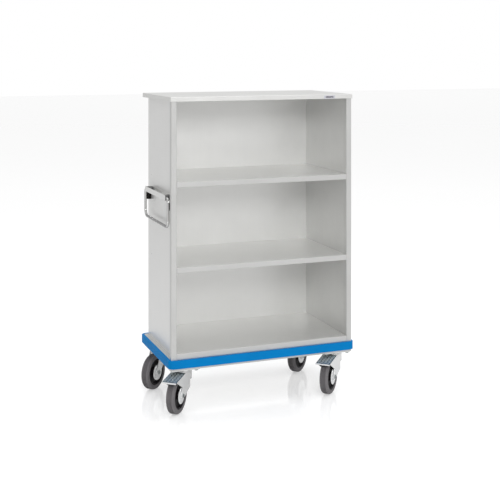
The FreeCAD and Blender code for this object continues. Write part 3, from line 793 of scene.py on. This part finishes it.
def prism(bm, radius, low, high, centre, axis, sides, soft, look=0):
    """A rounded-edge prism or disc between two offsets along an axis."""
    axis = Vector(axis)
    turn = axis.to_track_quat("Z", "Y").to_matrix().to_4x4()
    place = Matrix.Translation(Vector(centre) + axis * (low + high) / 2) @ turn
    verts = bmesh.ops.create_cone(
        bm,
        cap_ends=True,
        segments=sides,
        radius1=radius,
        radius2=radius,
        depth=high - low,
        matrix=place,
    )["verts"]
    faces = faces_of(verts)
    for face in faces:
        face.material_index = look
    rims = [
        edge
        for edge in edges_of(verts)
        if abs((edge.verts[0].co - edge.verts[1].co).dot(axis)) < LEVEL
    ]
    bevel(bm, rims, soft, segments=2)


# ------------------------------------------------------------------ cabinet


def build_lid():
    """Lid with folded edges."""
    bm = bmesh.new()
    low = (-HALF_W - LID_LAP, -HALF_D - LID_LAP, TOP - LID_EDGE)
    high = (HALF_W + LID_LAP, HALF_D + LID_LAP, TOP)
    folded(bm, low, high, FOLD, [(0, 0, -1)])
    thicken(bm, SHEET)
    finish_piece("lid", bm, [LID_SHADE], "cabinet", ["top_panel"])


def build_post(name, low_x):
    """Hollow square post with rounded folds."""
    bm = bmesh.new()
    low = (low_x, -HALF_D, BASE_TOP)
    high = (low_x + POST, -HALF_D + POST, TOP - SHEET)
    folded(bm, low, high, FOLD, [(0, 0, 1), (0, 0, -1)])
    thicken(bm, SHEET)
    finish_piece(f"{name}_folded", bm, [FRAME_SHADE], "cabinet", [name])


def build_shelf(name, level, edge):
    """Folded shelf whose front edge turns in underneath."""
    bm = bmesh.new()
    half = HALF_W - POST
    folded(bm, (-half, -HALF_D, level - edge), (half, HALF_D - SHEET, level), FOLD, [(0, 0, -1)])
    front = -HALF_D + HEM_FIND
    foot = level - edge + HEM_FIND
    hems = [
        line
        for line in bm.edges
        if line.is_boundary and all(v.co.y < front and v.co.z < foot for v in line.verts)
    ]
    made = bmesh.ops.extrude_edge_only(bm, edges=hems)["geom"]
    moved = [item for item in made if isinstance(item, bmesh.types.BMVert)]
    bmesh.ops.translate(bm, vec=(0, SHELF_LIP, 0), verts=moved)
    bevel(bm, [line for line in hems if line.is_valid], FOLD, segments=4)
    thicken(bm, SHEET)
    # The shelf's front faces take the darker copy of the steel: painted shade.
    for face in bm.faces:
        if face.calc_center_median().y < -HALF_D + FOLD / 2:
            face.material_index = 1
    finish_piece(f"{name}_folded", bm, [TRAY_SHADE, FRAME_SHADE], "cabinet", [name])


def build_base():
    """Base tray with a folded skirt."""
    bm = bmesh.new()
    low = (-HALF_W, -HALF_D, BASE_LOW)
    high = (HALF_W, HALF_D, BASE_TOP)
    folded(bm, low, high, FOLD, [(0, 0, -1)])
    thicken(bm, BASE_SHEET)
    # The base tray takes the darker copy of the steel: painted shade.
    finish_piece("base_folded", bm, [FRAME_SHADE], "cabinet", ["base_tray"])


def build_bumper():
    """Moulded bumper with rounded corners and soft rims."""
    bm = bmesh.new()
    reach = Vector((HALF_W + BUMPER_WALL, HALF_D + BUMPER_WALL, 0))
    low = -reach + Vector((0, 0, BUMPER_LOW))
    high = reach + Vector((0, 0, BUMPER_LOW + BUMPER_HEIGHT))
    verts = block(bm, low, high)
    ends = [face for face in faces_of(verts) if abs(face.normal.z) > SQUARE_ON]
    bmesh.ops.delete(bm, geom=ends, context="FACES_ONLY")
    corners = [line for line in bm.edges if len(line.link_faces) == 2]
    bevel(bm, corners, BUMPER_CORNER, segments=14)
    thicken(bm, BUMPER_WALL)
    rims = []
    for line in bm.edges:
        if len(line.link_faces) != 2 or rise(line) > LEVEL:
            continue
        outside = max(abs(line.verts[0].co.x) - HALF_W, abs(line.verts[0].co.y) - HALF_D)
        if outside > BUMPER_WALL / 2 and any(abs(face.normal.z) > SQUARE_ON for face in line.link_faces):
            rims.append(line)
    bevel(bm, rims, BUMPER_EDGE, segments=5)
    finish_piece("bumper_profile", bm, [BLUE], "cabinet", ["bumper"])


def build_name_plate():
    """Blank plate with softened edges and a plain dark inlay."""
    bm = bmesh.new()
    low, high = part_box("name_plate")
    slab(bm, low, high, FINE_SOFT, segments=2)
    margin = Vector(INLAY_MARGIN)
    far = Vector((high.x, low.y + INLAY_DEPTH, high.z)) - margin
    slab(bm, low + margin, far, INLAY_SOFT, segments=1, look=1)
    finish_piece("blank_plate", bm, [PLATE, INLAY], "cabinet", ["name_plate"])


# ------------------------------------------------------------------ handle


def build_bracket():
    """Open-topped trough with rounded folds."""
    bm = bmesh.new()
    low = (BRACKET_X[0], -BRACKET_HALF, PIVOT_Z - BRACKET_HEIGHT / 2)
    high = (BRACKET_X[1], BRACKET_HALF, PIVOT_Z + BRACKET_HEIGHT / 2)
    folded(bm, low, high, FOLD, [(0, 0, 1), (0, 1, 0), (0, -1, 0)])
    thicken(bm, SHEET)
    finish_piece("handle_trough", bm, [STEEL], "cabinet", ["handle_bracket"])


def build_buffers():
    """Rubber pads with rounded edges."""
    bm = bmesh.new()
    low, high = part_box("handle_buffers")
    for start, end in ((low.y, low.y + BUFFER_WIDTH), (high.y - BUFFER_WIDTH, high.y)):
        slab(bm, (low.x, start, low.z), (high.x, end, high.z), BUFFER_SOFT, segments=4)
    finish_piece("grip_pads", bm, [RUBBER], "cabinet", ["handle_buffers"])


def ring_verts(edges):
    """The vertices of an edge ring."""
    return list({vert for edge in edges for vert in edge.verts})


def build_grip():
    """Round bar bent twice at each end, as one swept tube."""
    bm = bmesh.new()
    start = Vector((PIVOT_X, -JOURNAL_END, PIVOT_Z))
    face_front = Vector((0, -1, 0)).to_track_quat("Z", "Y").to_matrix().to_4x4()
    ring = bmesh.ops.create_circle(
        bm, cap_ends=False, segments=BAR_SIDES, radius=GRIP_R, matrix=Matrix.Translation(start) @ face_front
    )["verts"]
    edges = edges_of(ring)
    top = PIVOT_Z - GRIP_BEND
    low = PIVOT_Z - GRIP_DROP + GRIP_LOW_BEND
    steps = (
        ("go", (0, JOURNAL_END - GRIP_SPAN + GRIP_BEND, 0)),
        ("turn", (PIVOT_X, -GRIP_SPAN + GRIP_BEND, top)),
        ("go", (0, 0, low - top)),
        ("turn", (PIVOT_X, -GRIP_SPAN + GRIP_LOW_BEND, low)),
        ("go", (0, 2 * (GRIP_SPAN - GRIP_LOW_BEND), 0)),
        ("turn", (PIVOT_X, GRIP_SPAN - GRIP_LOW_BEND, low)),
        ("go", (0, 0, top - low)),
        ("turn", (PIVOT_X, GRIP_SPAN - GRIP_BEND, top)),
        ("go", (0, JOURNAL_END - GRIP_SPAN + GRIP_BEND, 0)),
    )
    for kind, spot in steps:
        if kind == "go":
            made = bmesh.ops.extrude_edge_only(bm, edges=edges)["geom"]
            moved = [item for item in made if isinstance(item, bmesh.types.BMVert)]
            bmesh.ops.translate(bm, vec=spot, verts=moved)
            edges = [item for item in made if isinstance(item, bmesh.types.BMEdge) and item.is_boundary]
        else:
            made = bmesh.ops.spin(
                bm,
                geom=ring_verts(edges) + edges,
                cent=spot,
                axis=(1, 0, 0),
                angle=math.pi / 2,
                steps=BEND_STEPS,
                use_merge=False,
                use_duplicate=False,
            )["geom_last"]
            edges = [item for item in made if isinstance(item, bmesh.types.BMEdge)]
    bmesh.ops.holes_fill(bm, edges=bm.edges, sides=0)
    finish_piece("drop_grip", bm, [GRIP], "handle", ["handle_grip"], sharp=50)


# ------------------------------------------------------------------ castors


def castor_matrix(tag):
    """From the kingpin's own axes to the cart's."""
    x, y = KINGPINS[tag]
    return Matrix.Translation((x, y, 0)) @ Matrix.Rotation(math.radians(YAWS[tag]), 4, "Z")


def carry(bm, tag):
    """Move everything made so far to a castor's corner."""
    bmesh.ops.transform(bm, matrix=castor_matrix(tag), verts=bm.verts)


AXLE = (TRAIL, 0, WHEEL_R)
ACROSS = (0, 1, 0)
UP = (0, 0, 1)
ORIGIN = (0, 0, 0)


def tyre_profile():
    """Section of a tyre: seat, side wall, rounded shoulders and grooved tread."""
    points = [(SEAT_R + above, -TYRE_HALF + inward) for above, inward in SIDE_WALL]
    for index in range(ARC_STEPS + 1):
        turn = math.radians(90 * index / ARC_STEPS)
        across = -TYRE_HALF + TYRE_SHOULDER * (1 - math.cos(turn))
        points.append((WHEEL_R - TYRE_SHOULDER * (1 - math.sin(turn)), across))
    for groove in GROOVES:
        points += [
            (WHEEL_R, groove - GROOVE_HALF),
            (WHEEL_R - GROOVE_DEPTH, groove - GROOVE_FLOOR),
            (WHEEL_R - GROOVE_DEPTH, groove + GROOVE_FLOOR),
            (WHEEL_R, groove + GROOVE_HALF),
        ]
    return points + [(radius, -across) for radius, across in reversed(points)]


def castor_piece(tag, ending, bm, looks, part):
    """Move a castor's shape to its corner and finish it, riding on the body that carries it."""
    bodies = {"tyre": "wheel", "rim": "wheel", "pedal": "brake"}
    carry(bm, tag)
    body = f"castor_{tag}_{bodies.get(part, 'swivel')}"
    finish_piece(f"{tag}_{ending}", bm, looks, body, [f"castor_{tag}_{part}"])


def build_tyre(tag):
    """Ribbed solid tyre."""
    bm = bmesh.new()
    profile = tyre_profile()
    lathe(bm, profile + profile[:1], AXLE, ACROSS)
    castor_piece(tag, "tyre_ribbed", bm, [TYRE], "tyre")


def build_rim(tag):
    """Black wheel centre: stepped band, dished web and hub."""
    bm = bmesh.new()
    far = [(radius, -across) for radius, across in reversed(RIM_SECTION)]
    lathe(bm, RIM_SECTION + far + RIM_SECTION[:1], AXLE, ACROSS)
    castor_piece(tag, "wheel_centre", bm, [BLACK], "rim")


def build_guards(tag):
    """Dished discs with a pressed ring and small eyelets."""
    bm = bmesh.new()
    for side in (1, -1):
        section = [(radius, side * across) for radius, across in GUARD_SECTION]
        lathe(bm, section, AXLE, ACROSS, steps=DISC_SIDES)
        for index in range(EYELETS):
            turn = math.radians(360 / EYELETS * index + EYELET_START)
            spot = Vector(AXLE) + Vector((math.cos(turn), 0, math.sin(turn))) * EYELET_RING
            low, high = sorted(side * (GUARD_OUTER - depth) for depth in (EYELET_BACK, EYELET_FRONT))
            prism(bm, EYELET_R, low, high, spot, ACROSS, sides=16, soft=EYELET_SOFT)
    castor_piece(tag, "dished_guards", bm, [ZINC], "guards")


def build_axle(tag):
    """Axle bolt with washers, head and nut."""
    bm = bmesh.new()
    face = FORK_HALF + FORK_SHEET
    prism(bm, AXLE_R, -face - AXLE_NEAR, face + AXLE_FAR, AXLE, ACROSS, sides=32, soft=EDGE_SOFT, look=1)
    prism(bm, WASHER_R, face, face + WASHER, AXLE, ACROSS, sides=40, soft=FINE_SOFT)
    prism(bm, WASHER_R, -face - WASHER, -face, AXLE, ACROSS, sides=40, soft=FINE_SOFT)
    prism(bm, NUT_R, face + WASHER, face + NUT_OUT, AXLE, ACROSS, sides=HEX, soft=EDGE_SOFT, look=1)
    prism(bm, NUT_R, -face - HEAD_OUT, -face - WASHER, AXLE, ACROSS, sides=HEX, soft=EDGE_SOFT, look=1)
    castor_piece(tag, "axle_set", bm, [ZINC, DARK_ZINC], "axle")


def plate_outline(bm, points, low, high, corner, soft, look=0):
    """A flat plate across Y cut to an outline of (x, z) points, with rounded corners and edges."""
    face = bm.faces.new([bm.verts.new((x, low, z)) for x, z in points])
    if corner:
        rounded = bmesh.ops.bevel(
            bm,
            geom=list(face.verts),
            offset=corner,
            offset_type="OFFSET",
            segments=4,
            profile=0.5,
            affect="VERTICES",
            clamp_overlap=True,
            material=-1,
        )
        large = [part for part in bm.faces if part.is_valid and len(part.verts) > 8]
        face = max(rounded["faces"] + large, key=lambda part: part.calc_area())
    made = bmesh.ops.extrude_face_region(bm, geom=[face])["geom"]
    top = [item for item in made if isinstance(item, bmesh.types.BMVert)]
    bmesh.ops.translate(bm, vec=(0, high - low, 0), verts=top)
    faces = faces_of(top)
    lids = [item for item in made if isinstance(item, bmesh.types.BMFace)]
    for part in set(faces + lids + [face]):
        part.material_index = look
    rims = list({edge for lid in (lids[0], face) for edge in lid.edges})
    bevel(bm, rims, soft, segments=2)


def leg_outline(braked):
    """Side view of one fork leg: crown skirt, shoulder, waist and round foot."""
    points = [(CROWN_BACK, CROWN_TOP), (LEG_TOP_FRONT, CROWN_TOP), LEG_WAIST]
    for index in range(ARC_STEPS + 1):
        turn = math.radians(FOOT_START - FOOT_SWEEP * index / ARC_STEPS)
        points.append((TRAIL + LEG_FOOT * math.cos(turn), WHEEL_R + LEG_FOOT * math.sin(turn)))
    if braked:
        return points + [(LEG_BACK, LEG_HEEL), (LEG_BACK, SKIRT_LOW), (CROWN_BACK, SKIRT_LOW)]
    points += [(SLIM_BACK, LEG_HEEL), (LEG_BACK, SLIM_STEP)]
    return points + [(LEG_BACK, SKIRT_LOW), (CROWN_BACK, SKIRT_LOW)]


def build_fork(tag):
    """Pressed fork with rounded crown and legs."""
    bm = bmesh.new()
    outside = FORK_HALF + FORK_SHEET
    slab(bm, (CROWN_BACK, -outside, CROWN_LOW), (CROWN_FRONT, outside, CROWN_TOP), CROWN_SOFT)
    prism(bm, CUP_R, CROWN_TOP, RACE_TOP, ORIGIN, UP, sides=DISC_SIDES, soft=CROWN_SOFT)
    for low, high in ((FORK_HALF, outside), (-outside, -FORK_HALF)):
        plate_outline(bm, leg_outline(tag in BRAKED), low, high, LEG_CORNER, LEG_SOFT)
    castor_piece(tag, "fork_pressed", bm, [ZINC], "fork")


def build_top_plate(tag):
    """Bolted plate with round corners and the pressed cup."""
    bm = bmesh.new()
    half_x, half_y = PLATE_HALF
    verts = block(bm, (-half_x, -half_y, PLATE_LOW), (half_x, half_y, BASE_LOW))
    bevel(bm, [edge for edge in edges_of(verts) if rise(edge) > LEVEL], PLATE_CORNER, segments=6)
    rims = [edge for edge in bm.edges if len(edge.link_faces) == 2 and rise(edge) < LEVEL]
    bevel(bm, rims, EDGE_SOFT, segments=2)
    prism(bm, CUP_R, PLATE_LOW - CUP_DEPTH, PLATE_LOW, ORIGIN, UP, sides=DISC_SIDES, soft=CUP_SOFT)
    x, y = KINGPINS[tag]
    bmesh.ops.translate(bm, vec=(x, y, 0), verts=bm.verts)
    finish_piece(f"{tag}_top_plate", bm, [ZINC], "cabinet", [f"castor_{tag}_plate"])


def build_bolt_heads():
    """Hexagon bolts of the four top plates."""
    bm = bmesh.new()
    for x, y in KINGPINS.values():
        for dx, dy in BOLT_SPOTS:
            spot = (x + dx, y + dy, 0)
            prism(bm, BOLT_HEAD, PLATE_LOW - CUP_DEPTH, PLATE_LOW, spot, UP, sides=HEX, soft=HEAD_SOFT)
            prism(bm, BOLT_R, PLATE_LOW, BOLT_TOP, spot, UP, sides=20, soft=BOLT_SOFT)
    finish_piece("plate_bolts", bm, [DARK_ZINC], "cabinet", ["castor_bolts"])


def pedal_tread(bm):
    """Staggered short bars standing out of the tread."""
    length, half_wide = TREAD_BAR
    for row in range(TREAD_ROWS):
        for column in range(TREAD_COLUMNS):
            x = TREAD_START[0] + row * TREAD_STEP[0]
            y = TREAD_START[1] + column * TREAD_STEP[1] + (TREAD_SHIFT if row % 2 else -TREAD_SHIFT)
            low = (x, y - half_wide, TREAD_SUNK)
            # The bars take the painted-highlight colour (look 2).
            slab(bm, low, (x + length, y + half_wide, TREAD_PROUD), EDGE_SOFT, segments=1, look=2)


def build_pedal(tag):
    """Brake pedal: ribbed tread, rolled lip, two tapered cheeks and their inward hooks."""
    bm = bmesh.new()
    half = PEDAL_HALF
    slab(bm, (0, -half, -PEDAL_SHEET), (PEDAL_LENGTH, half, 0), SHEET_SOFT)
    pedal_tread(bm)
    prism(bm, LIP_R, -half, half, (PEDAL_LENGTH, 0, -PEDAL_SHEET), ACROSS, sides=24, soft=EDGE_SOFT, look=1)
    slope = Matrix.Rotation(math.radians(PEDAL_SLOPE), 4, "Y")
    bmesh.ops.transform(bm, matrix=Matrix.Translation(PEDAL_ROOT) @ slope, verts=bm.verts)
    for low, high in ((half - CHEEK, half), (-half, -half + CHEEK)):
        plate_outline(bm, CHEEK_OUTLINE, low, high, CHEEK_CORNER, CHEEK_SOFT, look=1)
    for low, high in ((half - HOOK_REACH, half), (-half, -half + HOOK_REACH)):
        near = (HOOK_LOW[0], low, HOOK_LOW[1])
        far = (HOOK_HIGH[0], high, HOOK_HIGH[1])
        slab(bm, near, far, CHEEK_SOFT, segments=2, look=1)
    castor_piece(tag, "pedal_ribbed", bm, [TREAD, ZINC, RIDGE_HIGHLIGHT], "pedal")


# ------------------------------------------------------------------ floor

FLOOR_SIZE = 30.0
FLOOR_COAT = 0.45
FLOOR_COAT_ROUGH = 0.08
FLOOR_ROUGH = (0.09, 0.11)
FLOOR_HAZE = 3.0
FLOOR_DARK = (0.93, 0.93, 0.93)
FLOOR_LIGHT = (0.94, 0.94, 0.94)
GLOW = 0.02
FLOOR_GLOW = 0.42


def build_floor():
    """Large pale floor."""
    bm = bmesh.new()
    bmesh.ops.create_grid(bm, x_segments=1, y_segments=1, size=FLOOR_SIZE)
    mesh = bpy.data.meshes.new("floor")
    bm.to_mesh(mesh)
    bm.free()
    floor = bpy.data.objects.new("floor", mesh)
    bpy.context.scene.collection.objects.link(floor)
    made, tree, shader, where = material_shell("studio_floor", coat=FLOOR_COAT)
    shader.inputs["Coat Roughness"].default_value = FLOOR_COAT_ROUGH
    haze = noise(tree, where, FLOOR_HAZE)
    link(tree, tinted(tree, haze, FLOOR_DARK, FLOOR_LIGHT), shader.inputs["Base Color"])
    link(tree, ranged(tree, haze, *FLOOR_ROUGH), shader.inputs["Roughness"])
    shader.inputs["Emission Color"].default_value = (1.0, 1.0, 1.0, 1.0)
    seen = shader_node(tree, "ShaderNodeLightPath").outputs["Is Camera Ray"]
    link(tree, ranged(tree, seen, GLOW, FLOOR_GLOW), shader.inputs["Emission Strength"])
    mesh.materials.append(made)


# ------------------------------------------------------------------ light and camera

CAMERA_SPOT = (-1.7310, -4.5933, 1.6062)
CAMERA_TURN = -20.86
CAMERA_LENS = 74.66
CAMERA_SENSOR = 36.0
CAMERA_DROP = -0.4054
ROOM_LIGHT = 0.66

# name, place, aim, width, depth, power
LAMPS = (
    ("key_lamp", (-1.0, -5.4, 3.0), (0.0, 0.0, 0.7), 1.5, 1.2, 100.0),
    ("top_lamp", (0.3, 0.2, 4.6), (0.0, 0.0, 0.0), 3.6, 3.6, 44.0),
    ("right_lamp", (2.2, -5.2, 2.7), (0.0, 0.0, 0.7), 1.5, 1.2, 8.0),
)


def area_light(name, place, aim, width, depth, power):
    """Soft rectangular lamp pointed at a place."""
    lamp = bpy.data.lights.new(name, "AREA")
    lamp.shape = "RECTANGLE"
    lamp.size = width
    lamp.size_y = depth
    lamp.energy = power
    made = bpy.data.objects.new(name, lamp)
    made.location = place
    made.rotation_euler = (Vector(aim) - Vector(place)).to_track_quat("-Z", "Y").to_euler()
    bpy.context.scene.collection.objects.link(made)


def build_studio():
    """White surroundings and three lamps."""
    world = bpy.data.worlds.new("studio")
    bpy.context.scene.world = world
    world.use_nodes = True
    tree = world.node_tree
    backdrop = tree.nodes["Background"]
    backdrop.inputs["Color"].default_value = (1.0, 1.0, 1.0, 1.0)
    seen = shader_node(tree, "ShaderNodeLightPath").outputs["Is Camera Ray"]
    link(tree, ranged(tree, seen, ROOM_LIGHT, 1.0), backdrop.inputs["Strength"])
    for lamp in LAMPS:
        area_light(*lamp)


def build_camera():
    """Level camera with a drop, so upright edges stay parallel."""
    lens = bpy.data.cameras.new("view")
    lens.lens = CAMERA_LENS
    lens.sensor_width = CAMERA_SENSOR
    lens.shift_y = CAMERA_DROP
    made = bpy.data.objects.new("view", lens)
    made.location = CAMERA_SPOT
    made.rotation_euler = (math.radians(90), 0.0, math.radians(CAMERA_TURN))
    bpy.context.scene.collection.objects.link(made)
    bpy.context.scene.camera = made


# ------------------------------------------------------------------ assembly

paint_frame()
build_lid()
build_post("front_post_left", -HALF_W)
build_post("front_post_right", HALF_W - POST)
for shelf_name, (shelf_level, shelf_edge) in SHELVES.items():
    build_shelf(shelf_name, shelf_level, shelf_edge)
build_base()
build_bumper()
build_name_plate()
build_bracket()
build_buffers()
build_grip()
for corner in KINGPINS:
    build_tyre(corner)
    build_rim(corner)
    build_guards(corner)
    build_axle(corner)
    build_fork(corner)
    build_top_plate(corner)
for corner in BRAKED:
    build_pedal(corner)
build_bolt_heads()
build_floor()
build_studio()
build_camera()
scene = bpy.context.scene
scene.view_settings.view_transform = "Standard"
